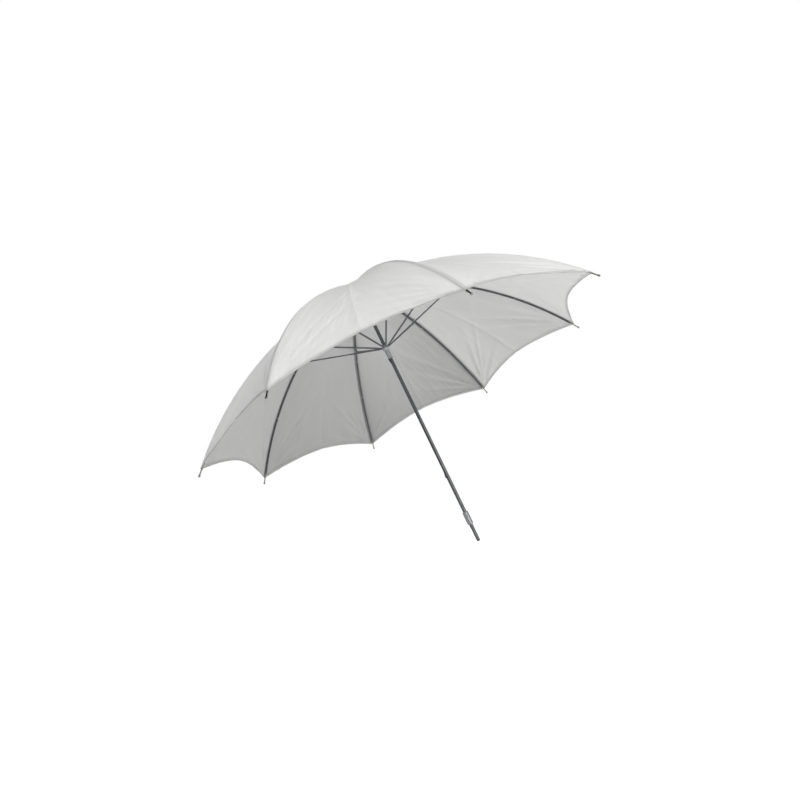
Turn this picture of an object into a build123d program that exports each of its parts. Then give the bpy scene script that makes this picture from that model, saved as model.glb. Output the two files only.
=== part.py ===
from build123d import *
import os
from math import asin, atan2, cos, degrees, radians, sin, sqrt

# Umbrella reflector, open. The origin is on the shaft's axis, at the middle of
# the bare end that a clamp takes. +Z runs along the shaft to the crown. Rib 1
# lies over -X, and the numbers go clockwise seen from above. Millimetres.

# Shaft and its fittings
RIBS = 8
SHAFT_R = 4.0
SHAFT_WALL = 0.6
STUB_LENGTH = 36.0
SLEEVE_LENGTH = 28.0
SLEEVE_R = SHAFT_R + 2.25
SLEEVE_EDGE = 0.6
PLUG_DEPTH = 9.0
PLUG_DOME = 3.2
CRIMP_DEPTH, CRIMP_LENGTH = 0.2, 1.2

# Linkage, with the canopy open
SLEEVE_TO_CROWN = 578.0
PIVOT_SPAN = 168.0
PIVOT_R = SHAFT_R + 2.5
JOINT_R = 212.0
JOINT_DROP = 13.0
RIB_ANGLE_AT_JOINT = 26.0
OUTER_BEND_R = 705.4
OUTER_BEND = 25.874

# Ribs and stretchers: channels rolled from strip
RIB_W, RIB_H, RIB_T = 3.6, 3.2, 0.5
STRETCHER_W, STRETCHER_H, STRETCHER_T = 3.0, 2.8, 0.45
TONGUE_T = 1.2
TONGUE_H = 2.6
RIB_TONGUE = 15.0
STRETCHER_TONGUE = 11.0
EYE_R = 1.6
RING_WIRE_R = 0.5
EYE_CLEARANCE = 0.07

# Rib joint: a saddle crimped round the rib, and a rivet through the fork
SADDLE_LENGTH = 11.0
SADDLE_T = 0.5
SADDLE_DROP = 0.9
FORK_EYE_R = 1.9
FORK_OPEN = 7.0
RIVET_R = 0.8
RIVET_HEAD_R = 1.5
RIVET_HEAD_T = 0.5

# Rib tips
TIP_LENGTH = 24.0
TIP_R = 1.5
TIP_BALL_R = 2.3
TIP_NOSE_R = 1.3
TANG_W = 1.5
TANG_LENGTH = 16.0

# Crown and runner
NOTCH_R = PIVOT_R + 2.0
NOTCH_UP, NOTCH_DOWN = 2.6, 4.6
CROWN_COLLAR_R, CROWN_COLLAR = SHAFT_R + 2.0, 6.0
CROWN_PIN_R = 0.75
SLOT_GAP = 0.2
SLOT_FLOOR_WALL = 0.6
RUNNER_R = SHAFT_R + 1.5
RUNNER_LENGTH = 29.0
RUNNER_HEAD_R = PIVOT_R + 1.7
RUNNER_HEAD_UP = 3.2
RUNNER_LIP_R, RUNNER_LIP = SHAFT_R + 2.3, 3.0
RUNNER_CLEARANCE = 0.07

# Sprung catches
CATCH_T = 1.2
CATCH_OUT = 3.4
TOP_CATCH_LENGTH = 17.0
BOTTOM_CATCH_LENGTH = 19.0
BOTTOM_CATCH_Z = 128.5
CATCH_EAR = 2.0
CATCH_INSET = 3.8
CATCH_AZIMUTH = -157.5

# Canopy
CLOTH_T = 0.6
CLOTH_GAP = 0.3
PANEL_GAP = 0.3
PANEL_START = 10.5
CORNER_BACK = 15.0
HEM_RISE = 33.0
CREASE_SAG = 11.0
STATIONS = 17
WASHER_R, WASHER_T = 14.0, 0.6
CAP_R, CAP_H = 9.5, 3.6

# Clearance between pieces that only stand beside each other
FREE = 0.3

# Places worked out from the sizes
STUB_Z = STUB_LENGTH / 2
SLEEVE_TOP = STUB_Z + SLEEVE_LENGTH
CROWN_Z = SLEEVE_TOP + SLEEVE_TO_CROWN
RUNNER_Z = CROWN_Z - PIVOT_SPAN
JOINT_Z = CROWN_Z - PIVOT_SPAN / 2
HALF_GORE = 180 / RIBS
RUNNER_LOW = RUNNER_Z - RUNNER_LENGTH
WASHER_Z = CROWN_Z + NOTCH_UP + FREE
SHAFT_TOP = WASHER_Z + WASHER_T + CAP_H / 2


def azimuth(k):
    """The direction of rib k about the shaft, in degrees."""
    return 180 - (k - 1) * 360 / RIBS


def at_rib(k, shape):
    """Turns a piece drawn over +X to where rib k is."""
    return shape.rotate(Axis.Z, azimuth(k))


# ---- The rib's line, in the XZ plane ----


def direction(angle):
    """Unit vector that points outward and down by an angle."""
    return Vector(cos(radians(angle)), 0, -sin(radians(angle)))


def outward_normal(angle):
    """Unit vector square to the rib, away from the shaft's lower end."""
    return Vector(sin(radians(angle)), 0, cos(radians(angle)))


PIVOT = Vector(PIVOT_R, 0, CROWN_Z)
LINK = Vector(JOINT_R, 0, JOINT_Z)
RUNNER_PIVOT = Vector(PIVOT_R, 0, RUNNER_Z)
LINK_LENGTH = (LINK - RUNNER_PIVOT).length
OVER_LINK = LINK + outward_normal(RIB_ANGLE_AT_JOINT) * JOINT_DROP

# The inner arc leaves the joint along the rib's angle there and ends at the pivot.
INNER_CHORD = OVER_LINK - PIVOT
INNER_CHORD_ANGLE = degrees(atan2(-INNER_CHORD.Z, INNER_CHORD.X))
INNER_BEND = 2 * (RIB_ANGLE_AT_JOINT - INNER_CHORD_ANGLE)
INNER_BEND_R = INNER_CHORD.length / (2 * sin(radians(INNER_BEND / 2)))
CROWN_ANGLE = RIB_ANGLE_AT_JOINT - INNER_BEND
TIP_ANGLE = RIB_ANGLE_AT_JOINT + OUTER_BEND
INNER_LENGTH = radians(INNER_BEND) * INNER_BEND_R
OUTER_LENGTH = radians(OUTER_BEND) * OUTER_BEND_R
RIB_LENGTH = INNER_LENGTH + OUTER_LENGTH + TIP_LENGTH


def rib_angle(s):
    """The rib's fall from level at a length s along it from the crown pivot."""
    if s < INNER_LENGTH:
        return CROWN_ANGLE + INNER_BEND * s / INNER_LENGTH
    return RIB_ANGLE_AT_JOINT + OUTER_BEND * min(s - INNER_LENGTH, OUTER_LENGTH) / OUTER_LENGTH


def on_arc(start, angle, radius, s):
    """The point a length s along an arc that leaves start at an angle."""
    centre = start - outward_normal(angle) * radius
    return centre + outward_normal(angle + degrees(s / radius)) * radius


def rib_point(s):
    """The rib's centre line at a length s from the crown pivot."""
    if s < INNER_LENGTH:
        return on_arc(PIVOT, CROWN_ANGLE, INNER_BEND_R, s)
    bent = min(s - INNER_LENGTH, OUTER_LENGTH)
    point = on_arc(OVER_LINK, RIB_ANGLE_AT_JOINT, OUTER_BEND_R, bent)
    return point + direction(TIP_ANGLE) * (s - INNER_LENGTH - bent)


TIP_START = rib_point(RIB_LENGTH - TIP_LENGTH)
TIP_END = rib_point(RIB_LENGTH)


def rib_line(start, end):
    """The rib's centre line between two lengths on it, as arcs."""
    stops = [start] + [s for s in [INNER_LENGTH] if start < s < end] + [end]
    arcs = [
        ThreePointArc(rib_point(a), rib_point((a + b) / 2), rib_point(b))
        for a, b in zip(stops, stops[1:])
    ]
    return Wire(arcs)


# ---- Channels, tongues and eyes ----


def channel_section(width, height, gauge):
    """A channel's section with broken shoulders, open towards -Y."""
    outer = Rectangle(width, height)
    shoulders = outer.vertices().group_by(Axis.Y)[-1]
    outer = chamfer(shoulders, width / 8)
    inner = Pos(0, -gauge) * Rectangle(width - 2 * gauge, height)
    return outer - inner


def across(point, radius, thickness):
    """A disc square to the Y axis."""
    disc = Cylinder(radius, thickness, rotation=(90, 0, 0))
    return Pos(*point) * disc


def bar(start, end, height, thickness):
    """A flat bar on edge in the XZ plane."""
    run = end - start
    fall = degrees(atan2(-run.Z, run.X))
    middle = (start + end) * 0.5
    return Pos(*middle) * Rot(0, fall, 0) * Box(run.length, thickness, height)


def tongue(pivot, towards, length):
    """A channel's end pressed flat, with the eye that the ring wire threads."""
    end = pivot + towards * length
    flat = across(pivot, EYE_R, TONGUE_T) + bar(pivot, end, TONGUE_H, TONGUE_T)
    eye = across(pivot, RING_WIRE_R + EYE_CLEARANCE, 2 * TONGUE_T)
    return flat - eye


def rib_section_plane(s):
    """The plane of the rib's section at a length along it."""
    return Plane(origin=rib_point(s), x_dir=(0, 1, 0), z_dir=direction(rib_angle(s)))


def rib():
    """A rib: tongue at the crown, curved channel, tang for the tip."""
    start, end = RIB_TONGUE - 4, RIB_LENGTH - TIP_LENGTH
    line = rib_line(start, end)
    channel = sweep(rib_section_plane(start) * channel_section(RIB_W, RIB_H, RIB_T), line)
    flat = tongue(PIVOT, direction(CROWN_ANGLE), RIB_TONGUE)
    axis = Plane(origin=TIP_START, z_dir=direction(TIP_ANGLE))
    plug = axis * Box(RIB_H - RIB_T, RIB_W - RIB_T, 5, align=(Align.CENTER, Align.CENTER, Align.MAX))
    return channel + flat + plug + tang()


def tang():
    """The square tang at the rib's end that the tip is pressed on."""
    axis = Plane(origin=TIP_START, z_dir=direction(TIP_ANGLE))
    return axis * Box(TANG_W, TANG_W, TANG_LENGTH, align=(Align.CENTER, Align.CENTER, Align.MIN))


def tip():
    """A rib's tip: a ferrule pressed on the tang, closed by a faceted ball."""
    axis = Plane(origin=TIP_START, z_dir=direction(TIP_ANGLE))
    profile = Polyline(
        (0, 0),
        (TIP_R, 0),
        (TIP_R, TIP_LENGTH - TIP_BALL_R),
        (TIP_BALL_R, TIP_LENGTH - TIP_BALL_R / 3),
        (TIP_BALL_R, TIP_LENGTH + TIP_BALL_R / 3),
        (TIP_NOSE_R, TIP_LENGTH + TIP_BALL_R),
        (0, TIP_LENGTH + TIP_BALL_R),
        close=True,
    )
    ferrule = axis * revolve(Plane.XZ * make_face(profile), Axis.Z)
    return ferrule - tang()


def joint_plane():
    """The rib's cross section over the rivet: Y across, X away from the shaft."""
    return Plane(origin=OVER_LINK, x_dir=(0, 1, 0), z_dir=direction(RIB_ANGLE_AT_JOINT))


def rib_clip():
    """The saddle under the rib, with the tongue that the fork straddles."""
    width = RIB_W + 2 * SADDLE_T
    low, high = -RIB_H / 2 - SADDLE_T, RIB_H / 2 - SADDLE_DROP
    band = joint_plane() * Pos(0, (low + high) / 2, 0) * Box(width, high - low, SADDLE_LENGTH)
    start, end = INNER_LENGTH - SADDLE_LENGTH, INNER_LENGTH + SADDLE_LENGTH
    filled = sweep(rib_section_plane(start) * Rectangle(RIB_W, RIB_H), rib_line(start, end))
    foot = OVER_LINK - outward_normal(RIB_ANGLE_AT_JOINT) * (RIB_H / 2)
    plate = bar(LINK, foot, 2 * EYE_R, TONGUE_T) + across(LINK, FORK_EYE_R, TONGUE_T)
    return (band - filled) + plate - across(LINK, RIVET_R, 2 * TONGUE_T)


def rivet():
    """The rivet that is fast in the clip's tongue and carries the fork."""
    reach = STRETCHER_W / 2 + FREE / 2
    shank = across(LINK, RIVET_R, 2 * reach)
    heads = [
        across(LINK + Vector(0, side * (reach + RIVET_HEAD_T / 2), 0), RIVET_HEAD_R, RIVET_HEAD_T)
        for side in (-1, 1)
    ]
    return shank + heads


def stretcher():
    """A stretcher: tongue at the runner, straight channel, fork at the rib."""
    run = LINK - RUNNER_PIVOT
    along = run.normalized()
    rise = -degrees(atan2(run.Z, run.X))
    start = RUNNER_PIVOT + along * (STRETCHER_TONGUE - 3)
    plane = Plane(origin=start, x_dir=(0, 1, 0), z_dir=along)
    length = run.length - STRETCHER_TONGUE + 3
    channel = extrude(plane * channel_section(STRETCHER_W, STRETCHER_H, STRETCHER_T), length)
    ears = across(LINK, FORK_EYE_R, STRETCHER_W)
    gap = STRETCHER_W - 2 * STRETCHER_T
    mouth = Pos(*LINK) * Rot(0, rise, 0) * Box(2 * FORK_OPEN, gap, 3 * STRETCHER_H)
    hole = across(LINK, RIVET_R + EYE_CLEARANCE, 2 * STRETCHER_W)
    flat = tongue(RUNNER_PIVOT, along, STRETCHER_TONGUE)
    return channel + flat + ears - mouth - hole


# ---- Crown and runner ----


def turned(points):
    """A solid of revolution about the shaft from (radius, height) points."""
    return revolve(Plane.XZ * make_face(Polyline(*points, close=True)), Axis.Z)


def slots(floor_r, low, high):
    """The cuts that the tongues stand in, one over each rib."""
    width = TONGUE_T + 2 * SLOT_GAP
    cut = Pos(floor_r, 0, low) * Box(
        NOTCH_R, width, high - low, align=(Align.MIN, Align.CENTER, Align.MIN)
    )
    return [at_rib(k, cut) for k in range(1, RIBS + 1)]


def wire_groove(z, outer_r):
    """The groove that lets the ring wire in from the rim."""
    wall = RING_WIRE_R + EYE_CLEARANCE
    return turned(
        [
            (PIVOT_R - wall, z - wall),
            (outer_r + 1, z - wall),
            (outer_r + 1, z + wall),
            (PIVOT_R - wall, z + wall),
        ]
    )


def ring_wire(z):
    """The wire ring that every tongue at one notch turns on."""
    section = Plane.XZ * Pos(PIVOT_R, z) * RegularPolygon(RING_WIRE_R, 8)
    return revolve(section, Axis.Z)


def crown_notch():
    """The crown: a slotted ring over a collar, fast on the shaft."""
    top, low = CROWN_Z + NOTCH_UP, CROWN_Z - NOTCH_DOWN
    foot = low - CROWN_COLLAR
    body = turned(
        [
            (SHAFT_R, foot),
            (CROWN_COLLAR_R, foot),
            (CROWN_COLLAR_R, low),
            (NOTCH_R, low),
            (NOTCH_R, top),
            (SHAFT_R, top),
        ]
    )
    cuts = slots(SHAFT_R + SLOT_FLOOR_WALL, low - 1, top + 1)
    return body - cuts - wire_groove(CROWN_Z, NOTCH_R) - crown_pin()


def crown_pin():
    """The pin through the crown's collar and the shaft."""
    z = CROWN_Z - NOTCH_DOWN - CROWN_COLLAR / 2
    pin = Cylinder(CROWN_PIN_R, 2 * CROWN_COLLAR_R, rotation=(0, 90, 0))
    return Pos(0, 0, z) * pin.rotate(Axis.Z, HALF_GORE)


def canopy_washer():
    """The disc that clamps the canopy's middle over the crown."""
    return turned(
        [
            (SHAFT_R, WASHER_Z),
            (WASHER_R, WASHER_Z),
            (WASHER_R, WASHER_Z + WASHER_T),
            (SHAFT_R, WASHER_Z + WASHER_T),
        ]
    )


def top_cap():
    """The low domed cap on the shaft's top."""
    foot = WASHER_Z + WASHER_T
    return turned(
        [
            (SHAFT_R, foot),
            (CAP_R, foot),
            (CAP_R, foot + CAP_H * 0.35),
            (CAP_R * 0.8, foot + CAP_H * 0.75),
            (CAP_R * 0.4, foot + CAP_H),
            (0, foot + CAP_H),
            (0, SHAFT_TOP),
            (SHAFT_R, SHAFT_TOP),
        ]
    )


def runner():
    """The runner: a slotted head on a tube with a lip to pull it by."""
    bore = SHAFT_R + RUNNER_CLEARANCE
    head = RUNNER_Z - NOTCH_DOWN
    body = turned(
        [
            (bore, RUNNER_LOW),
            (RUNNER_LIP_R, RUNNER_LOW),
            (RUNNER_LIP_R, RUNNER_LOW + RUNNER_LIP),
            (RUNNER_R, RUNNER_LOW + RUNNER_LIP + 1),
            (RUNNER_R, head - 1.5),
            (RUNNER_HEAD_R, head),
            (RUNNER_HEAD_R, RUNNER_Z + RUNNER_HEAD_UP),
            (bore, RUNNER_Z + RUNNER_HEAD_UP),
        ]
    )
    floor = RUNNER_Z - EYE_R - FREE
    cuts = slots(bore + SLOT_FLOOR_WALL, floor, RUNNER_Z + RUNNER_HEAD_UP + 1)
    return body - cuts - wire_groove(RUNNER_Z, RUNNER_HEAD_R) - runner_window()


def runner_window():
    """The slit that the lower catch springs into when the canopy is folded."""
    low = RUNNER_LOW + RUNNER_LIP + 4
    high = RUNNER_Z - NOTCH_DOWN
    slit = Box(RUNNER_HEAD_R, CATCH_T + 2 * SLOT_GAP, high - low, align=(Align.MIN, Align.CENTER, Align.MIN))
    return (Pos(SHAFT_R, 0, low) * slit).rotate(Axis.Z, CATCH_AZIMUTH)


# ---- Shaft and what is on it ----


def catch(low, length, step_up):
    """A sprung wedge, with ears that keep it in the shaft's slot.

    Its step faces the crown if step_up, and its ramp falls away from the step.
    """
    inside = SHAFT_R - CATCH_INSET
    wall = SHAFT_R - SHAFT_WALL - SLOT_GAP
    high = low + length
    step, end = (high, low) if step_up else (low, high)
    outline = Polyline(
        (inside, low - CATCH_EAR),
        (wall, low - CATCH_EAR),
        (wall, end) if step_up else (wall, step),
        (SHAFT_R, end) if step_up else (SHAFT_R + CATCH_OUT, step),
        (SHAFT_R + CATCH_OUT, step) if step_up else (SHAFT_R, end),
        (wall, step) if step_up else (wall, end),
        (wall, high + CATCH_EAR),
        (inside, high + CATCH_EAR),
        close=True,
    )
    plate = extrude(Plane.XZ * make_face(outline), CATCH_T / 2, both=True)
    return plate.rotate(Axis.Z, CATCH_AZIMUTH)


def catch_slot(low, length):
    """The slot in the shaft's wall that a catch works through."""
    slot = Box(
        2 * SHAFT_R, CATCH_T + SLOT_GAP, length + 2 * SLOT_GAP, align=(Align.MIN, Align.CENTER, Align.MIN)
    )
    return (Pos(0, 0, low - SLOT_GAP) * slot).rotate(Axis.Z, CATCH_AZIMUTH)


TOP_CATCH_Z = RUNNER_LOW - FREE - TOP_CATCH_LENGTH


def shaft_tube():
    """The steel shaft: slotted for its catches, drilled for the crown pin.

    A rolled groove under the sleeve's lower rim ends the bare part.
    """
    tube = turned(
        [
            (SHAFT_R - SHAFT_WALL, -STUB_Z),
            (SHAFT_R, -STUB_Z),
            (SHAFT_R, STUB_Z),
            (SHAFT_R - CRIMP_DEPTH, STUB_Z),
            (SHAFT_R - CRIMP_DEPTH, STUB_Z + CRIMP_LENGTH),
            (SHAFT_R, STUB_Z + CRIMP_LENGTH),
            (SHAFT_R, SHAFT_TOP),
            (SHAFT_R - SHAFT_WALL, SHAFT_TOP),
        ]
    )
    tube = tube - catch_slot(TOP_CATCH_Z, TOP_CATCH_LENGTH)
    tube = tube - catch_slot(BOTTOM_CATCH_Z, BOTTOM_CATCH_LENGTH)
    return tube - crown_pin()


def end_plug():
    """The rounded plug that closes the shaft's lower end."""
    return turned(
        [
            (0, -STUB_Z - PLUG_DOME),
            (SHAFT_R * 0.45, -STUB_Z - PLUG_DOME),
            (SHAFT_R * 0.85, -STUB_Z - PLUG_DOME * 0.6),
            (SHAFT_R, -STUB_Z),
            (SHAFT_R - SHAFT_WALL, -STUB_Z),
            (SHAFT_R - SHAFT_WALL, PLUG_DEPTH - STUB_Z),
            (0, PLUG_DEPTH - STUB_Z),
        ]
    )


def adapter_sleeve():
    """The polished sleeve that steps the shaft up to a larger clamp."""
    low, high = STUB_Z, SLEEVE_TOP
    body = turned([(SHAFT_R, low), (SLEEVE_R, low), (SLEEVE_R, high), (SHAFT_R, high)])
    rims = body.edges().filter_by(GeomType.CIRCLE).group_by(SortBy.RADIUS)[-1]
    return chamfer(rims, SLEEVE_EDGE)


# ---- Canopy ----


SEAM_HALF_W = RIB_W / 2 + SADDLE_T + FREE


def over_rib(s, depth):
    """A point on the canopy straight over the rib, depth below its outer face."""
    lift = RIB_H / 2 + CLOTH_GAP + CLOTH_T - depth
    return rib_point(s) + outward_normal(rib_angle(s)) * lift


def on_seam(s, side, depth):
    """A point on the edge of the flat seam over the rib."""
    return over_rib(s, depth) + Vector(0, side * SEAM_HALF_W, 0)


def on_crease(s, side, depth):
    """A point halfway to the next rib, where the taut gore hangs below the ribs."""
    share = s / RIB_LENGTH
    point = over_rib(s, depth) - outward_normal(rib_angle(s)) * (4 * CREASE_SAG * share * (1 - share))
    turn = radians(HALF_GORE)
    along = point.X * cos(turn) + SEAM_HALF_W * sin(turn)
    x = along * cos(turn) + PANEL_GAP / 2 * sin(turn)
    y = along * sin(turn) - PANEL_GAP / 2 * cos(turn)
    return Vector(x, side * y, point.Z)


def canopy_panel():
    """The cloth that one rib carries, from crease to crease, as a closed skin."""
    corner = RIB_LENGTH - CORNER_BACK
    rows = []
    for i in range(STATIONS):
        share = i / (STATIONS - 1)
        ridge = PANEL_START + (corner - PANEL_START) * share
        crease = PANEL_START + (corner - HEM_RISE - PANEL_START) * share
        for depth in (0, CLOTH_T):
            rows.append(
                [
                    on_crease(crease, -1, depth),
                    on_seam(ridge, -1, depth),
                    on_seam(ridge, 1, depth),
                    on_crease(crease, 1, depth),
                ]
            )
    outer, inner = rows[0::2], rows[1::2]
    faces = []
    for a, b in zip(outer, outer[1:]):
        faces += strip(a, b)
    for a, b in zip(inner, inner[1:]):
        faces += strip(a, b)
    faces += strip(outer[0], inner[0]) + strip(outer[-1], inner[-1])
    for side in (0, -1):
        faces += strip([row[side] for row in outer], [row[side] for row in inner])
    return Solid(Shell(faces))


def strip(a, b):
    """Triangles that join two rows of points."""
    faces = []
    for i in range(len(a) - 1):
        faces.append(make_face(Polyline(a[i], a[i + 1], b[i], close=True)).face())
        faces.append(make_face(Polyline(a[i + 1], b[i + 1], b[i], close=True)).face())
    return faces


# ---- Every piece, each to its own file ----


def pieces():
    """Every piece by name."""
    made = {
        "shaft_tube": shaft_tube(),
        "end_plug": end_plug(),
        "adapter_sleeve": adapter_sleeve(),
        "top_catch": catch(TOP_CATCH_Z, TOP_CATCH_LENGTH, True),
        "bottom_catch": catch(BOTTOM_CATCH_Z, BOTTOM_CATCH_LENGTH, False),
        "crown_notch": crown_notch(),
        "crown_wire": ring_wire(CROWN_Z),
        "crown_pin": crown_pin(),
        "canopy_washer": canopy_washer(),
        "top_cap": top_cap(),
        "runner": runner(),
        "runner_wire": ring_wire(RUNNER_Z),
    }
    repeated = {
        "rib": rib(),
        "tip": tip(),
        "rib_clip": rib_clip(),
        "joint_rivet": rivet(),
        "stretcher": stretcher(),
        "canopy_panel": canopy_panel(),
    }
    for name, shape in repeated.items():
        for k in range(1, RIBS + 1):
            made[f"{name}_{k}"] = at_rib(k, shape)
    return made


os.makedirs("parts", exist_ok=True)
for name, shape in pieces().items():
    export_step(shape, f"parts/{name}.step")
print("tips at radius", TIP_END.X, "height", TIP_END.Z, "fall", TIP_ANGLE)
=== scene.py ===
import math

import bpy
import numpy as np
from mathutils import Matrix, Vector


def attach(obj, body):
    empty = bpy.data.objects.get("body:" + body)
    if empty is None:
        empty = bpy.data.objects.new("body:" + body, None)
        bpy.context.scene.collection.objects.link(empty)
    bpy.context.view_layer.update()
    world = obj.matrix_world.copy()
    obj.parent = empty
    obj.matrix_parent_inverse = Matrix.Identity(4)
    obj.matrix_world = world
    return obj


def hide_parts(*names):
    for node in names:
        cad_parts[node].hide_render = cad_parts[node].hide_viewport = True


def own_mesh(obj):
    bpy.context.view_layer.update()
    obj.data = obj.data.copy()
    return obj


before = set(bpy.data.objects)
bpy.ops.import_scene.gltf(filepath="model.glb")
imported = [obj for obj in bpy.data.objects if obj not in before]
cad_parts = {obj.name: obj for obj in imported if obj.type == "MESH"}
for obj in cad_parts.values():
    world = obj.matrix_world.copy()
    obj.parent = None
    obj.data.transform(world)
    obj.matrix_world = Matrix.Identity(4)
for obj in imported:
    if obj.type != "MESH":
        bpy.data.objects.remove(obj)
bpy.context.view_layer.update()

scene = bpy.context.scene

# ---- Camera ----
# A 36 mm wide sensor behind a 29 mm lens, low in front of the umbrella and
# to its left, turned a little so that the shaft leans across the picture.

eye = Vector((-0.47298, -1.34938, 0.01422))
right = Vector((0.884784, -0.196646, -0.422478))
down = Vector((-0.348856, 0.321574, -0.880278))
forward = Vector((0.308961, 0.926240, 0.215923))
lens = bpy.data.cameras.new("lens")
lens.sensor_width = 36.0
lens.lens = 29.355
lens.clip_start, lens.clip_end = 0.05, 60.0
camera = bpy.data.objects.new("camera", lens)
scene.collection.objects.link(camera)
turn = Matrix((right, -down, -forward)).transposed()
camera.matrix_world = Matrix.Translation(eye) @ turn.to_4x4()
scene.camera = camera

# ---- Floor and light ----
# A light table of opal acrylic under the umbrella, a white room, and large soft
# lamps: the cloth is thin, so light from behind a gore shows through it.


def linear(hex_code):
    """An sRGB hex colour as the linear colour that shaders take."""
    parts = [int(hex_code[i : i + 2], 16) / 255 for i in (1, 3, 5)]
    return (*(c / 12.92 if c <= 0.04045 else ((c + 0.055) / 1.055) ** 2.4 for c in parts), 1.0)


def add(tree, kind, inputs, **settings):
    """Adds one node; an input is given a value, or the socket that feeds it."""
    node = tree.nodes.new(kind)
    for name, value in settings.items():
        setattr(node, name, value)
    for name, value in inputs.items():
        if isinstance(value, bpy.types.NodeSocket):
            tree.links.new(value, node.inputs[name])
        else:
            node.inputs[name].default_value = value
    return node


def new_finish(name):
    """An empty node material and its tree."""
    finish = bpy.data.materials.new(name)
    finish.use_nodes = True
    finish.node_tree.nodes.clear()
    return finish, finish.node_tree


def cells(mm):
    """Scale of a noise, to the nearest whole cell in a metre, for cells this wide."""
    return round(1000 / mm)


# Opal cast acrylic, matt side up and lit from below: pale, and faintly uneven
# over a third of a metre.
opal_acrylic, tree = new_finish("opal_cast_acrylic")
place = add(tree, "ShaderNodeTexCoord", {})
mottle = add(
    tree,
    "ShaderNodeTexNoise",
    {"Vector": place.outputs["Object"], "Scale": cells(333), "Detail": 2.0},
)
tone = add(
    tree,
    "ShaderNodeMix",
    {"Factor": mottle.outputs["Fac"], "A": linear("#f4f4f3"), "B": linear("#f7f7f7")},
    data_type="RGBA",
)
acrylic = add(
    tree,
    "ShaderNodeBsdfPrincipled",
    {
        "Base Color": tone.outputs["Result"],
        "Roughness": 0.8,
        "Specular IOR Level": 0.1,
        "Emission Color": tone.outputs["Result"],
        "Emission Strength": 0.95,
    },
)
add(tree, "ShaderNodeOutputMaterial", {"Surface": acrylic.outputs["BSDF"]})

# Metres. The shaft's lower end hangs 79 mm clear of the table.
table_half, table_z = 30, -0.1
table_corners = [
    (x * table_half, y * table_half, table_z) for x, y in ((-1, -1), (1, -1), (1, 1), (-1, 1))
]
floor_mesh = bpy.data.meshes.new("floor")
floor_mesh.from_pydata(table_corners, [], [(0, 1, 2, 3)])
floor = bpy.data.objects.new("floor", floor_mesh)
floor_mesh.materials.append(opal_acrylic)
scene.collection.objects.link(floor)
# The lamps light the table evenly, so it neither shades nor fills the canopy.
floor.visible_diffuse = floor.visible_shadow = False

# The room looks white, but its walls are far off and fill the shadows only a little.
white = (1, 1, 1, 1)
room = bpy.data.worlds.new("room")
room.use_nodes = True
room.node_tree.nodes.clear()
ray = add(room.node_tree, "ShaderNodeLightPath", {})
seen = add(room.node_tree, "ShaderNodeBackground", {"Color": white, "Strength": 1.0})
fill = add(room.node_tree, "ShaderNodeBackground", {"Color": white, "Strength": 0.05})
both = add(
    room.node_tree,
    "ShaderNodeMixShader",
    {0: ray.outputs["Is Camera Ray"], 1: fill.outputs[0], 2: seen.outputs[0]},
)
add(room.node_tree, "ShaderNodeOutputWorld", {"Surface": both.outputs[0]})
scene.world = room
scene.view_settings.view_transform = "Standard"

# Each lamp: the way it lies from the canopy (azimuth, height in degrees) and its strength.
softbox_spread = math.radians(40)
for name, bearing, height, strength in (
    ("lamp_key", 292, 24, 2.2),
    ("lamp_front", 252, 42, 0.9),
    ("lamp_left_low", 160, -30, 1.25),
    ("lamp_right_low", 345, -28, 0.7),
    ("lamp_under", 90, -80, 0.6),
):
    softbox = bpy.data.lights.new(name, "SUN")
    softbox.energy = strength
    softbox.angle = softbox_spread
    lamp = bpy.data.objects.new(name, softbox)
    b, h = math.radians(bearing), math.radians(height)
    way = Vector((math.cos(b) * math.cos(h), math.sin(b) * math.cos(h), math.sin(h)))
    lamp.rotation_mode = "QUATERNION"
    lamp.rotation_quaternion = way.to_track_quat("Z", "Y")
    scene.collection.objects.link(lamp)

# ---- Shaft ----
# One long steel tube, drawn, polished and chrome plated. It is slotted for
# its two catches and grooved under the sleeve.

# Chrome plate: a dark mirror with drawing lines 1 mm wide and 70 mm long, which
# are coarser than real ones so that they show, and a 17 mm bloom from handling.
shaft_chrome, tree = new_finish("chrome_plated_tube")
place = add(tree, "ShaderNodeTexCoord", {})
drawn = add(
    tree,
    "ShaderNodeMapping",
    {"Vector": place.outputs["Object"], "Scale": (cells(1.111), cells(1.111), cells(71.4))},
)
lines = add(
    tree, "ShaderNodeTexNoise", {"Vector": drawn.outputs["Vector"], "Scale": 1.0, "Detail": 3.0}
)
bloom = add(
    tree,
    "ShaderNodeTexNoise",
    {"Vector": place.outputs["Object"], "Scale": cells(16.7), "Detail": 4.0},
)
gloss = add(
    tree, "ShaderNodeMapRange", {"Value": bloom.outputs["Fac"], "To Min": 0.3, "To Max": 0.4}
)
tone = add(
    tree,
    "ShaderNodeMix",
    {"Factor": lines.outputs["Fac"], "A": linear("#5f6165"), "B": linear("#6b6d71")},
    data_type="RGBA",
)
metal = add(
    tree,
    "ShaderNodeBsdfPrincipled",
    {
        "Base Color": tone.outputs["Result"],
        "Roughness": gloss.outputs["Result"],
        "Metallic": 1.0,
    },
)
add(tree, "ShaderNodeOutputMaterial", {"Surface": metal.outputs["BSDF"]})


def paint_nodes(finish, *names):
    """Gives CAD pieces their finish."""
    for name in names:
        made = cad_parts[name]
        made.data.materials.clear()
        made.data.materials.append(finish)


paint_nodes(shaft_chrome, "shaft_tube")

# ---- End plug ----
# A plug moulded in nylon with a domed nose, pressed into the shaft's lower end
# to cover the tube's cut edge.

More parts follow.
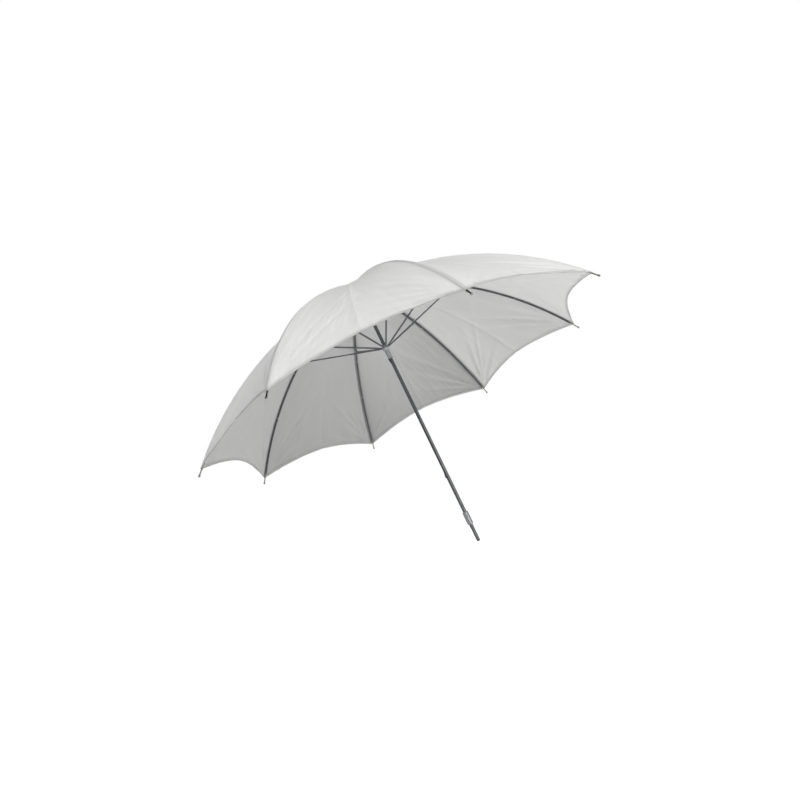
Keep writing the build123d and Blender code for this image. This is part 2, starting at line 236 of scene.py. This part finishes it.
# Moulded nylon: near black and satin, with the 0.7 mm grain of the mould.
plug_nylon, tree = new_finish("moulded_black_nylon")
place = add(tree, "ShaderNodeTexCoord", {})
grain = add(
    tree,
    "ShaderNodeTexNoise",
    {"Vector": place.outputs["Object"], "Scale": cells(0.6667), "Detail": 2.0},
)
tone = add(
    tree,
    "ShaderNodeMix",
    {"Factor": grain.outputs["Fac"], "A": linear("#26272a"), "B": linear("#2f3033")},
    data_type="RGBA",
)
relief = add(
    tree,
    "ShaderNodeBump",
    {"Height": grain.outputs["Fac"], "Strength": 0.3, "Distance": 0.0001},
)
nylon = add(
    tree,
    "ShaderNodeBsdfPrincipled",
    {
        "Base Color": tone.outputs["Result"],
        "Roughness": 0.45,
        "IOR": 1.53,
        "Normal": relief.outputs["Normal"],
    },
)
add(tree, "ShaderNodeOutputMaterial", {"Surface": nylon.outputs["BSDF"]})
paint_nodes(plug_nylon, "end_plug")

# ---- Adapter sleeve ----
# A short turned sleeve pushed on the shaft, so that a larger clamp can hold
# it. Turned on a lathe and plated bright.


def bands(mm):
    """Scale of a wave texture, for bands so far apart; at scale 1 it is pi / 10 m."""
    return round(1000 * math.pi / (10 * mm))


# Turned and plated steel: bright, with lathe rings 0.26 mm apart, and a bloom.
sleeve_chrome, tree = new_finish("turned_bright_chrome")
place = add(tree, "ShaderNodeTexCoord", {})
rings = add(
    tree,
    "ShaderNodeTexWave",
    {
        "Vector": place.outputs["Object"],
        "Scale": bands(0.2618),
        "Distortion": 1.5,
        "Detail": 2.0,
    },
    bands_direction="Z",
)
bloom = add(
    tree,
    "ShaderNodeTexNoise",
    {"Vector": place.outputs["Object"], "Scale": cells(8.33), "Detail": 3.0},
)
gloss = add(
    tree, "ShaderNodeMapRange", {"Value": bloom.outputs["Fac"], "To Min": 0.26, "To Max": 0.38}
)
tone = add(
    tree,
    "ShaderNodeMix",
    {"Factor": rings.outputs["Fac"], "A": linear("#8b8d90"), "B": linear("#9d9fa2")},
    data_type="RGBA",
)
relief = add(
    tree,
    "ShaderNodeBump",
    {"Height": rings.outputs["Fac"], "Strength": 0.12, "Distance": 0.0001},
)
metal = add(
    tree,
    "ShaderNodeBsdfPrincipled",
    {
        "Base Color": tone.outputs["Result"],
        "Roughness": gloss.outputs["Result"],
        "Normal": relief.outputs["Normal"],
        "Metallic": 1.0,
    },
)
add(tree, "ShaderNodeOutputMaterial", {"Surface": metal.outputs["BSDF"]})
paint_nodes(sleeve_chrome, "adapter_sleeve")

# ---- Ring wires and crown pin ----
# Spring steel wire, cut and bent bright. The tongues of the ribs and stretchers
# turn on the two rings, and the pin fixes the crown to the shaft.

# Bright spring steel: grey, with rolling lines 0.7 mm wide and 17 mm long,
# rubbed duller in places. The lines are drawn coarser than real ones.
spring_steel, tree = new_finish("bright_spring_steel")
place = add(tree, "ShaderNodeTexCoord", {})
rolled = add(
    tree,
    "ShaderNodeMapping",
    {"Vector": place.outputs["Object"], "Scale": (cells(0.7143), cells(0.7143), cells(16.7))},
)
lines = add(
    tree, "ShaderNodeTexNoise", {"Vector": rolled.outputs["Vector"], "Scale": 1.0, "Detail": 3.0}
)
gloss = add(
    tree, "ShaderNodeMapRange", {"Value": lines.outputs["Fac"], "To Min": 0.22, "To Max": 0.42}
)
tone = add(
    tree,
    "ShaderNodeMix",
    {"Factor": lines.outputs["Fac"], "A": linear("#7d7f82"), "B": linear("#96989b")},
    data_type="RGBA",
)
metal = add(
    tree,
    "ShaderNodeBsdfPrincipled",
    {
        "Base Color": tone.outputs["Result"],
        "Roughness": gloss.outputs["Result"],
        "Metallic": 1.0,
    },
)
add(tree, "ShaderNodeOutputMaterial", {"Surface": metal.outputs["BSDF"]})
paint_nodes(spring_steel, "crown_wire", "runner_wire", "crown_pin")

# ---- Catches ----
# Bent spring steel strip, tempered blue, that stands out of the shaft's two
# slots. The passing runner presses each one in and rubs its ramp.

# Blued spring steel: dark, rubbed in streaks 0.8 mm wide and 8 mm long.
blued_steel, tree = new_finish("blued_spring_steel")
place = add(tree, "ShaderNodeTexCoord", {})
rubbed = add(
    tree,
    "ShaderNodeMapping",
    {"Vector": place.outputs["Object"], "Scale": (cells(0.833), cells(0.833), cells(8.33))},
)
lines = add(
    tree, "ShaderNodeTexNoise", {"Vector": rubbed.outputs["Vector"], "Scale": 1.0, "Detail": 3.0}
)
gloss = add(
    tree, "ShaderNodeMapRange", {"Value": lines.outputs["Fac"], "To Min": 0.3, "To Max": 0.5}
)
tone = add(
    tree,
    "ShaderNodeMix",
    {"Factor": lines.outputs["Fac"], "A": linear("#45464a"), "B": linear("#5a5b60")},
    data_type="RGBA",
)
metal = add(
    tree,
    "ShaderNodeBsdfPrincipled",
    {
        "Base Color": tone.outputs["Result"],
        "Roughness": gloss.outputs["Result"],
        "Metallic": 0.9,
    },
)
add(tree, "ShaderNodeOutputMaterial", {"Surface": metal.outputs["BSDF"]})
paint_nodes(blued_steel, "top_catch", "bottom_catch")

# ---- Crown and runner ----
# The two slotted hubs that the ribs and stretchers hang on, die cast in zinc
# and tumbled. The runner slides on the shaft.

# Tumbled zinc casting: light grey and softly glossy, with pits 1 mm apart and
# a rub that varies over 7 mm.
hub_zinc, tree = new_finish("tumbled_zinc_casting")
place = add(tree, "ShaderNodeTexCoord", {})
pits = add(
    tree,
    "ShaderNodeTexNoise",
    {"Vector": place.outputs["Object"], "Scale": cells(1.111), "Detail": 4.0},
)
rub = add(
    tree,
    "ShaderNodeTexNoise",
    {"Vector": place.outputs["Object"], "Scale": cells(7.14), "Detail": 3.0},
)
gloss = add(
    tree, "ShaderNodeMapRange", {"Value": rub.outputs["Fac"], "To Min": 0.28, "To Max": 0.45}
)
tone = add(
    tree,
    "ShaderNodeMix",
    {"Factor": rub.outputs["Fac"], "A": linear("#a4a6a9"), "B": linear("#b8babc")},
    data_type="RGBA",
)
relief = add(
    tree,
    "ShaderNodeBump",
    {"Height": pits.outputs["Fac"], "Strength": 0.2, "Distance": 0.0002},
)
metal = add(
    tree,
    "ShaderNodeBsdfPrincipled",
    {
        "Base Color": tone.outputs["Result"],
        "Roughness": gloss.outputs["Result"],
        "Normal": relief.outputs["Normal"],
        "Metallic": 0.9,
    },
)
add(tree, "ShaderNodeOutputMaterial", {"Surface": metal.outputs["BSDF"]})
paint_nodes(hub_zinc, "crown_notch", "runner")

# ---- Washer and cap ----
# The disc and low button moulded in black ABS that clamp the middle of the
# canopy over the crown.

# Moulded ABS: black and glossy, with a 6 mm ripple where it cooled.
cap_abs, tree = new_finish("moulded_black_abs")
place = add(tree, "ShaderNodeTexCoord", {})
ripple = add(
    tree,
    "ShaderNodeTexNoise",
    {"Vector": place.outputs["Object"], "Scale": cells(5.56), "Detail": 1.0},
)
tone = add(
    tree,
    "ShaderNodeMix",
    {"Factor": ripple.outputs["Fac"], "A": linear("#1c1c1e"), "B": linear("#242426")},
    data_type="RGBA",
)
gloss = add(
    tree, "ShaderNodeMapRange", {"Value": ripple.outputs["Fac"], "To Min": 0.2, "To Max": 0.3}
)
relief = add(
    tree,
    "ShaderNodeBump",
    {"Height": ripple.outputs["Fac"], "Strength": 0.15, "Distance": 0.0003},
)
plastic = add(
    tree,
    "ShaderNodeBsdfPrincipled",
    {
        "Base Color": tone.outputs["Result"],
        "Roughness": gloss.outputs["Result"],
        "IOR": 1.54,
        "Normal": relief.outputs["Normal"],
    },
)
add(tree, "ShaderNodeOutputMaterial", {"Surface": plastic.outputs["BSDF"]})
paint_nodes(cap_abs, "canopy_washer", "top_cap")

# ---- Ribs and stretchers ----
# Channels rolled from steel strip, flattened and pierced at the hub end, then
# blackened and oiled. The ribs are sprung to the canopy's curve.

# Blackened steel: charcoal and satin, with oil that dried in patches of 22 mm
# over a fine 0.9 mm grit.
black_steel, tree = new_finish("blackened_rolled_steel")
place = add(tree, "ShaderNodeTexCoord", {})
oil = add(
    tree,
    "ShaderNodeTexNoise",
    {"Vector": place.outputs["Object"], "Scale": cells(22.2), "Detail": 5.0},
)
grit = add(
    tree,
    "ShaderNodeTexNoise",
    {"Vector": place.outputs["Object"], "Scale": cells(0.909), "Detail": 2.0},
)
gloss = add(
    tree, "ShaderNodeMapRange", {"Value": oil.outputs["Fac"], "To Min": 0.3, "To Max": 0.5}
)
tone = add(
    tree,
    "ShaderNodeMix",
    {"Factor": oil.outputs["Fac"], "A": linear("#626367"), "B": linear("#7d7e83")},
    data_type="RGBA",
)
relief = add(
    tree,
    "ShaderNodeBump",
    {"Height": grit.outputs["Fac"], "Strength": 0.2, "Distance": 0.0001},
)
metal = add(
    tree,
    "ShaderNodeBsdfPrincipled",
    {
        "Base Color": tone.outputs["Result"],
        "Roughness": gloss.outputs["Result"],
        "Normal": relief.outputs["Normal"],
        "Metallic": 0.85,
    },
)
add(tree, "ShaderNodeOutputMaterial", {"Surface": metal.outputs["BSDF"]})
ribs = range(1, 9)
paint_nodes(black_steel, *[f"rib_{k}" for k in ribs], *[f"stretcher_{k}" for k in ribs])

# ---- Rib clips and rivets ----
# Zinc plated strip crimped round each rib, and the rivet that the fork of the
# stretcher turns on.

# Zinc plate: mid grey and slightly cloudy, with crystals 1 mm across.
clip_zinc, tree = new_finish("zinc_plated_strip")
place = add(tree, "ShaderNodeTexCoord", {})
crystals = add(
    tree, "ShaderNodeTexVoronoi", {"Vector": place.outputs["Object"], "Scale": cells(1.111)}
)
gloss = add(
    tree,
    "ShaderNodeMapRange",
    {"Value": crystals.outputs["Distance"], "To Min": 0.28, "To Max": 0.5},
)
tone = add(
    tree,
    "ShaderNodeMix",
    {"Factor": crystals.outputs["Distance"], "A": linear("#6c6e71"), "B": linear("#85878a")},
    data_type="RGBA",
)
metal = add(
    tree,
    "ShaderNodeBsdfPrincipled",
    {
        "Base Color": tone.outputs["Result"],
        "Roughness": gloss.outputs["Result"],
        "Metallic": 1.0,
    },
)
add(tree, "ShaderNodeOutputMaterial", {"Surface": metal.outputs["BSDF"]})
paint_nodes(clip_zinc, *[f"rib_clip_{k}" for k in ribs], *[f"joint_rivet_{k}" for k in ribs])

# ---- Tips ----
# Turned ferrules with a ball end, nickel plated and pressed on the ribs. The
# corners of the cloth are sewn to them.

# Nickel plate: a little warm, bright where it is handled and dulled in
# patches of 2.5 mm.
tip_nickel, tree = new_finish("nickel_plated_ferrule")
place = add(tree, "ShaderNodeTexCoord", {})
wear = add(
    tree,
    "ShaderNodeTexNoise",
    {"Vector": place.outputs["Object"], "Scale": cells(2.5), "Detail": 3.0},
)
gloss = add(
    tree, "ShaderNodeMapRange", {"Value": wear.outputs["Fac"], "To Min": 0.14, "To Max": 0.32}
)
tone = add(
    tree,
    "ShaderNodeMix",
    {"Factor": wear.outputs["Fac"], "A": linear("#6e6c68"), "B": linear("#8b8983")},
    data_type="RGBA",
)
metal = add(
    tree,
    "ShaderNodeBsdfPrincipled",
    {
        "Base Color": tone.outputs["Result"],
        "Roughness": gloss.outputs["Result"],
        "Metallic": 1.0,
    },
)
add(tree, "ShaderNodeOutputMaterial", {"Surface": metal.outputs["BSDF"]})
paint_nodes(tip_nickel, *[f"tip_{k}" for k in ribs])

# ---- Canopy ----
# Eight gores of thin white satin nylon, joined over the ribs by flat-felled
# seams, hemmed and cut taut. The gores dip between the ribs, a storage crease
# runs down the middle of each, and small folds fan out from the corners.

# Satin-woven nylon: white, a soft sheen outside, and it lets light through.
# The threads are 0.2 mm apart; they are drawn 1 mm apart so that they show.
# The slack in the cloth pulls into puckers 10.5 mm wide and 91 mm long; the same noise lightens
# the cloth in streaks along them, a painted sheen.
thread_spacing = 1.0
satin, tree = new_finish("white_satin_nylon")
cut = add(tree, "ShaderNodeUVMap", {}, uv_map="cut")
warp, weft = (
    add(
        tree,
        "ShaderNodeTexWave",
        {
            "Vector": cut.outputs["UV"],
            "Scale": bands(thread_spacing),
            "Distortion": 0.6,
            "Detail": 1.0,
        },
        bands_direction=way,
    )
    for way in ("X", "Y")
)
weave = add(
    tree,
    "ShaderNodeMath",
    {0: warp.outputs["Fac"], 1: weft.outputs["Fac"]},
    operation="MULTIPLY",
)
pulled = add(
    tree,
    "ShaderNodeMapping",
    {"Vector": cut.outputs["UV"], "Scale": (cells(10.53), cells(91), 1)},
)
puckers_and_painted_sheen = add(
    tree,
    "ShaderNodeTexNoise",
    {"Vector": pulled.outputs["Vector"], "Scale": 1.0, "Detail": 3.0, "Roughness": 0.5},
)
thread_relief = add(
    tree,
    "ShaderNodeBump",
    {"Height": weave.outputs["Value"], "Strength": 0.25, "Distance": 0.0001},
)
relief = add(
    tree,
    "ShaderNodeBump",
    {
        "Height": puckers_and_painted_sheen.outputs["Fac"],
        "Strength": 0.45,
        "Distance": 0.003,
        "Normal": thread_relief.outputs["Normal"],
    },
)
# Painted sheen: the colour is lighter in streaks where the pucker noise is high.
tone = add(
    tree,
    "ShaderNodeMix",
    {"Factor": puckers_and_painted_sheen.outputs["Fac"], "A": linear("#efefee"), "B": linear("#f6f6f5")},
    data_type="RGBA",
)
# Painted shade: where a seam or the hem doubles the cloth, the colour is made a shade darker for
# the light the doubled cloth holds back, and darkest along the seam's stitched edges for the
# shade of its relief.
painted_shade_input = add(tree, "ShaderNodeAttribute", {}, attribute_name="painted_seam_shade")
tone_with_painted_shade = add(
    tree,
    "ShaderNodeMix",
    {"Factor": painted_shade_input.outputs["Fac"], "A": tone.outputs["Result"], "B": linear("#cfcfce")},
    data_type="RGBA",
)
face = add(
    tree,
    "ShaderNodeBsdfPrincipled",
    {
        "Base Color": tone_with_painted_shade.outputs["Result"],
        "Roughness": 0.42,
        "IOR": 1.5,
        "Sheen Weight": 0.25,
        "Sheen Roughness": 0.4,
        "Normal": relief.outputs["Normal"],
    },
)
through = add(
    tree,
    "ShaderNodeBsdfTranslucent",
    {"Color": tone_with_painted_shade.outputs["Result"], "Normal": relief.outputs["Normal"]},
)
light_let_through = 0.2
cloth = add(
    tree,
    "ShaderNodeMixShader",
    {0: light_let_through, 1: face.outputs["BSDF"], 2: through.outputs["BSDF"]},
)
add(tree, "ShaderNodeOutputMaterial", {"Surface": cloth.outputs["Shader"]})

# Metres, from here on. The rib's centre line is two arcs that meet over the
# stretcher's joint, then a straight tip; it starts at the crown's ring wire.
crown_r, crown_z = 0.0065, 0.624
joint_r, joint_z, joint_drop = 0.212, 0.540, 0.013
joint_angle = math.radians(26.0)
outer_radius, outer_bend = 0.7054, math.radians(25.874)
tip_length = 0.024

over_r = joint_r + math.sin(joint_angle) * joint_drop
over_z = joint_z + math.cos(joint_angle) * joint_drop
chord = math.hypot(over_r - crown_r, over_z - crown_z)
chord_angle = math.atan2(crown_z - over_z, over_r - crown_r)
inner_bend = 2 * (joint_angle - chord_angle)
inner_radius = chord / (2 * math.sin(inner_bend / 2))
inner_length, outer_length = inner_bend * inner_radius, outer_bend * outer_radius
rib_length = inner_length + outer_length + tip_length


def rib_line(s):
    """Radius, height and fall of the rib's centre line at lengths s from the crown."""
    first = joint_angle - inner_bend
    bent = np.clip(s - inner_length, 0, outer_length)
    inner = s < inner_length
    fall = np.where(inner, first + s / inner_radius, joint_angle + bent / outer_radius)
    run = np.maximum(s - inner_length - bent, 0)
    r_in = crown_r + inner_radius * (np.sin(fall) - math.sin(first))
    z_in = crown_z + inner_radius * (np.cos(fall) - math.cos(first))
    r_out = over_r + outer_radius * (np.sin(fall) - math.sin(joint_angle)) + run * np.cos(fall)
    z_out = over_z + outer_radius * (np.cos(fall) - math.cos(joint_angle)) - run * np.sin(fall)
    return np.where(inner, r_in, r_out), np.where(inner, z_in, z_out), fall


def rib_directions(k):
    """Outward along rib k and sideways across it, seen from above."""
    bearing = math.radians(180 - (k - 1) * 45)
    outward = np.array((math.cos(bearing), math.sin(bearing), 0))
    sideways = np.array((-math.sin(bearing), math.cos(bearing), 0))
    return outward, sideways


# The cloth runs from just outside the crown's wire to a corner 15 mm short of
# the tip's end, and its hem curves 33 mm up between the corners.
first_length, corner_length = 0.0028, rib_length - 0.015
hem_rise, hem_width, hem_depth, hem_nose = 0.033, 0.006, 0.0009, 0.0002
hem_curve = 1.8  # 2 would be a parabola
cloth_lift = 0.0016 + 0.0006  # the rib's half depth, and the play under the cloth
half_gore = math.radians(22.5)
crease_sag, crease_ridge = 0.011, 0.0012
crease_share = 0.04  # of the way from the crease to the seam
seam_half, seam_depth = 0.0026, 0.00035
seam_narrow_r, seam_widen_r = 0.006, 0.03
stitch_share = 0.92  # of the way across the half seam
# How much painted shade darkens the cloth: from the seam's stitches to its edge,
# where it shades the seam's relief, over the rest of the seam, and along the hem.
stitch_edge_painted_shade, seam_band_painted_shade, hem_painted_shade = 0.45, 0.1, 0.6


def gore_folds(gore, across, down_rib, half):
    """How far small folds lift the cloth, at places in one gore's own flat cut.

    half is the gore's half width at each place.
    """
    dice = np.random.default_rng(40 + gore)
    folds_at_corner = 8
    first_fold, fold_spacing = 7, 8.5  # degrees from the rib, round the corner
    flat_at_corner = 0.03
    swell_height = 0.0005
    lift = np.zeros_like(across)
    for side in (-1, 1):
        dx, dy = across - side * half, corner_length - down_rib
        away = np.hypot(dx, dy)
        lean = np.degrees(np.arctan2(-side * dx, dy))
        for i in range(folds_at_corner):
            middle = first_fold + fold_spacing * i + dice.uniform(-3, 3)
            width = dice.uniform(1.1, 2.6)
            # The third and fourth folds, 24 to 33 degrees off the rib, run furthest.
            reach = dice.uniform(0.07, 0.2) * (1.25 if i in (2, 3) else 0.8)
            height = dice.uniform(0.0016, 0.0042) * dice.choice((-1, 1, 1))
            rise = np.clip(away / flat_at_corner, 0, 1) ** 1.5
            fade = np.exp(-((away / reach) ** 2))
            lift += height * rise * fade * np.exp(-(((lean - middle) / width) ** 2))
    # A faint swell over the whole gore, some 70 mm across by 230 mm down.
    ripple = np.sin(across * dice.uniform(70, 110) + dice.uniform(0, 6))
    swell = np.sin(down_rib * dice.uniform(22, 34) + dice.uniform(0, 6))
    return lift + swell_height * ripple * swell


def cloth_column(k, side, c, w):
    """One column of the cloth that rib k carries, from the crown to the hem and under it.

    side is -1 or 1; c goes from the rib's middle to the seam's edge, and w from
    there to the crease. Gives the places, their flat cut, and their painted shade.
    """
    outward, sideways = rib_directions(k)
    hem = corner_length - hem_rise * (1 - (1 - w) ** hem_curve)
    s = first_length + (hem - first_length) * row_shares
    r, z, fall = rib_line(s)
    r, z = r + cloth_lift * np.sin(fall), z + cloth_lift * np.cos(fall)

    # The seam narrows to a fifth near the crown; past it the cloth runs
    # straight to the crease that it shares with the next rib's piece.
    strip = seam_half * np.clip((r - seam_narrow_r) / seam_widen_r, 0.2, 1)
    along = r * math.cos(half_gore) + strip * math.sin(half_gore)
    half = along * math.sin(half_gore)
    x = r + (along * math.cos(half_gore) - r) * w
    y = strip * c + (half - strip) * w

    # The gore dips towards its middle, but not at the crown or the tip.
    t = s / rib_length
    lift = -4 * crease_sag * t * (1 - t) * (1 - (1 - w) ** 2)
    # The folds die out at the seam, and lie flatter where the hem is stitched.
    gore = k if side < 0 else k - 1
    folds = gore_folds(gore % 8, side * (1 - w) * half, s, half)
    off_seam, off_hem = min(1, w / 0.12), np.clip((hem - s) / 0.01 + 0.6, 0, 1)
    lift = lift + folds * off_seam * off_hem
    # The storage crease starts 32 mm from the crown and is full height at 112 mm.
    ridge = crease_ridge * math.exp(-(((1 - w) / crease_share) ** 2))
    lift = lift + ridge * np.clip(s / 0.08 - 0.4, 0, 1)
    if w == 0 and c < 1:
        lift = lift + seam_depth

    tilt = half_gore * w
    x = x + lift * np.sin(fall) * math.cos(tilt)
    y = y + lift * np.sin(fall) * math.sin(tilt)
    column = outward * x[:, None] + sideways * (side * y)[:, None]
    column[:, 2] = z + lift * np.cos(fall)

    # The hem: the cloth turns under and runs back up.
    footward = column[-1] - column[-4]
    footward /= np.linalg.norm(footward)
    under = -outward * math.sin(fall[-1]) - np.array((0, 0, math.cos(fall[-1])))
    fold = column[-1] + under * hem_depth
    column = np.vstack([column, fold + footward * hem_nose, fold - footward * hem_width])

    u = side * (strip * c + w * half)
    u, v = np.append(u, [u[-1], u[-1]]), np.append(s, [s[-1], s[-1] - hem_width])
    # Painted shade: the doubled hem, the seam, and most of all its stitched edges are darkened.
    painted_shade = np.where(hem - v < hem_width, hem_painted_shade, 0.0)
    if w == 0:
        painted_shade = np.maximum(painted_shade, stitch_edge_painted_shade if c >= stitch_share else seam_band_painted_shade)
    return column, np.column_stack([u, v]), painted_shade


# Each piece is what one rib carries, from crease to crease, in columns of
# (side, c, w) that are closer together on the seam, and in rows that are a
# little closer together towards the hem.
rows = 110
row_shares = np.linspace(0, 1, rows) ** 0.9
seam_steps = (0.0, 0.5, stitch_share, 1.0)
open_steps = np.linspace(0, 1, 31)[1:]
columns = [(-1, 1.0, w) for w in open_steps[::-1]] + [(-1, c, 0.0) for c in seam_steps[::-1]]
columns += [(1, c, 0.0) for c in seam_steps[1:]] + [(1, 1.0, w) for w in open_steps]
under_hem = 2
stride = rows + under_hem
faces = [
    (i * stride + j, i * stride + j + 1, (i + 1) * stride + j + 1, (i + 1) * stride + j)
    for i in range(len(columns) - 1)
    for j in range(stride - 1)
]

for k in ribs:
    verts, flat_cut, painted_shade = (
        np.concatenate(part) for part in zip(*(cloth_column(k, *at) for at in columns))
    )
    mesh = bpy.data.meshes.new(f"canopy_cloth_{k}")
    mesh.from_pydata(verts.tolist(), [], faces)
    mesh.shade_smooth()
    corner_of = np.zeros(len(mesh.loops), int)
    mesh.loops.foreach_get("vertex_index", corner_of)
    uv = mesh.uv_layers.new(name="cut")
    uv.data.foreach_set("uv", flat_cut[corner_of].ravel())
    mesh.attributes.new("painted_seam_shade", "FLOAT", "POINT").data.foreach_set("value", painted_shade)
    mesh.materials.append(satin)

    cloth_piece = bpy.data.objects.new(f"canopy_cloth_{k}", mesh)
    scene.collection.objects.link(cloth_piece)
    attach(cloth_piece, f"rib_{k}")
    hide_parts(f"canopy_panel_{k}")
    outward, sideways = rib_directions(k)
    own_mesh(cloth_piece)

# ---- Thread ties ----
# Bonded polyester thread: two ties hold the cloth to each rib, and a few turns
# whip its corner to the ferrule.

# Bonded thread: off white and matt, with plies that turn every 0.35 mm.
thread, tree = new_finish("bonded_polyester_thread")
place = add(tree, "ShaderNodeTexCoord", {})
plies = add(
    tree,
    "ShaderNodeTexWave",
    {"Vector": place.outputs["Object"], "Scale": bands(0.349), "Distortion": 1.0},
    bands_direction="DIAGONAL",
)
tone = add(
    tree,
    "ShaderNodeMix",
    {"Factor": plies.outputs["Fac"], "A": linear("#dcdad3"), "B": linear("#ecebe6")},
    data_type="RGBA",
)
relief = add(
    tree,
    "ShaderNodeBump",
    {"Height": plies.outputs["Fac"], "Strength": 0.4, "Distance": 0.0001},
)
fibre = add(
    tree,
    "ShaderNodeBsdfPrincipled",
    {
        "Base Color": tone.outputs["Result"],
        "Roughness": 0.85,
        "IOR": 1.5,
        "Normal": relief.outputs["Normal"],
    },
)
add(tree, "ShaderNodeOutputMaterial", {"Surface": fibre.outputs["BSDF"]})

thread_radius, turn_pitch, steps_in_turn = 0.0003, 0.0007, 10
for k in ribs:
    outward, sideways = (Vector(direction) for direction in rib_directions(k))
    curve = bpy.data.curves.new(f"thread_ties_{k}", "CURVE")
    curve.dimensions = "3D"
    curve.bevel_depth = thread_radius
    curve.bevel_resolution = 1
    curve.resolution_u = 3
    # Length along the rib, loop half width and half height, turns, tail length.
    for s, wide, tall, turns, tail in (
        (0.47 * rib_length, 0.0024, 0.0022, 2, 0.009),
        (0.69 * rib_length, 0.0024, 0.0022, 2, 0.006),
        (rib_length - 0.0175, 0.0021, 0.0021, 4, 0.0),
    ):
        r, z, fall = (float(v) for v in rib_line(np.array(s)))
        along = outward * math.cos(fall) - Vector((0, 0, math.sin(fall)))
        up = outward * math.sin(fall) + Vector((0, 0, math.cos(fall)))
        centre = outward * r + Vector((0, 0, z))
        route = []
        for i in range(turns * steps_in_turn + 1):
            a = 2 * math.pi * i / steps_in_turn - math.pi / 2
            loop = sideways * (wide * math.cos(a)) + up * (tall * math.sin(a))
            route.append(centre + loop + along * (turn_pitch * i / steps_in_turn))
        if tail:
            # The cut end leaves the knot to the side and hangs under the rib.
            end = route[-1]
            route += [
                end - up * 0.0012 + sideways * 0.0015,
                end - up * tail * 0.5 + sideways * 0.003,
                end - up * tail + sideways * 0.002,
            ]
        spline = curve.splines.new("NURBS")
        spline.points.add(len(route) - 1)
        spline.order_u = 3
        spline.use_endpoint_u = True
        for point, at in zip(spline.points, route):
            point.co = (*at, 1.0)
    curve.materials.append(thread)
    ties = bpy.data.objects.new(f"thread_ties_{k}", curve)
    scene.collection.objects.link(ties)
    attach(ties, f"rib_{k}")
